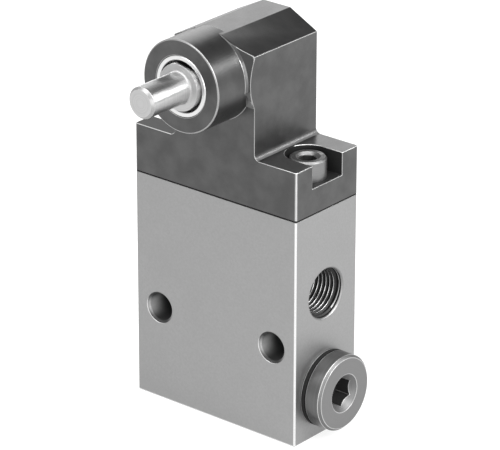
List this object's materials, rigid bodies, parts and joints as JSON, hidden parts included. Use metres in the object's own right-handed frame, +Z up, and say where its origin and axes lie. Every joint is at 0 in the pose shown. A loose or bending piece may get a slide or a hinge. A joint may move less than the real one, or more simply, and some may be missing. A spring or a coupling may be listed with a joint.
{
  "type": "rotary lever valve",
  "caption": "Small 3/2-way air valve: ported aluminium bar with a black head whose boss carries a spring-returned spindle stub for a swivel lever.",
  "frame": {"origin": "middle of the valve body's underside", "axes": "+X along the wide face, towards the end with the plugged port; +Y to the back, so the spindle stub points along -Y; +Z up, along the spool"},
  "size_m": [0.0437, 0.0383, 0.0793],
  "materials": {
    "body_aluminium": "natural anodised, satin",
    "head_anodised": "black anodised, satin",
    "screw_steel": "zinc plated",
    "bush_steel": "turned bright",
    "spindle_steel": "ground bright",
    "spring_steel": "drawn wire",
    "plug_steel": "turned, zinc plated",
    "plug_washer": "bare",
    "brass_cage": "turned",
    "rubber_black": "matt"
  },
  "bodies": {
    "valve": {"valve_body": "body_aluminium", "head_housing": "head_anodised", "head_gasket": "rubber_black", "head_screws": "screw_steel", "front_bush": "bush_steel", "thrust_washer": "bush_steel", "rear_bush": "bush_steel", "stop_pin": "spindle_steel", "tappet_spring": "spring_steel", "return_spring": "spring_steel", "spool_seals": "rubber_black", "supply_cage": "brass_cage", "port_cages": "brass_cage", "guide_bush": "brass_cage", "guide_seal": "rubber_black", "stem_seal": "rubber_black", "blanking_plug": "plug_steel", "plug_seal": "plug_washer"},
    "spindle": {"spindle": "spindle_steel", "spindle_seal": "rubber_black", "cam": "spindle_steel", "cam_pin": "spindle_steel"},
    "tappet": {"tappet": "spindle_steel"},
    "spool": {"spool": "spindle_steel"}
  },
  "joints": [
    {"name": "spool_slide", "type": "slide", "parent": "valve", "child": "spool", "axis": [0, 0, -1], "range_m": [0, 0.002], "stiffness_N_per_m": 150, "springref_m": -0.003, "deforming": ["return_spring"]},
    {"name": "tappet_slide", "type": "slide", "parent": "valve", "child": "tappet", "axis": [0, 0, -1], "range_m": [0, 0.002], "stiffness_N_per_m": 30, "springref_m": -0.002, "deforming": ["tappet_spring"]},
    {"name": "spindle_turn", "type": "hinge", "parent": "valve", "child": "spindle", "pos_m": [0, 0, 0.0703], "axis": [0, 1, 0], "range_deg": [0, 50]}
  ],
  "couplings": [
    {"joint": "spindle_turn", "follows": "spool_slide", "rad_per_m": 436.33},
    {"joint": "tappet_slide", "follows": "spool_slide", "ratio": 1}
  ]
}
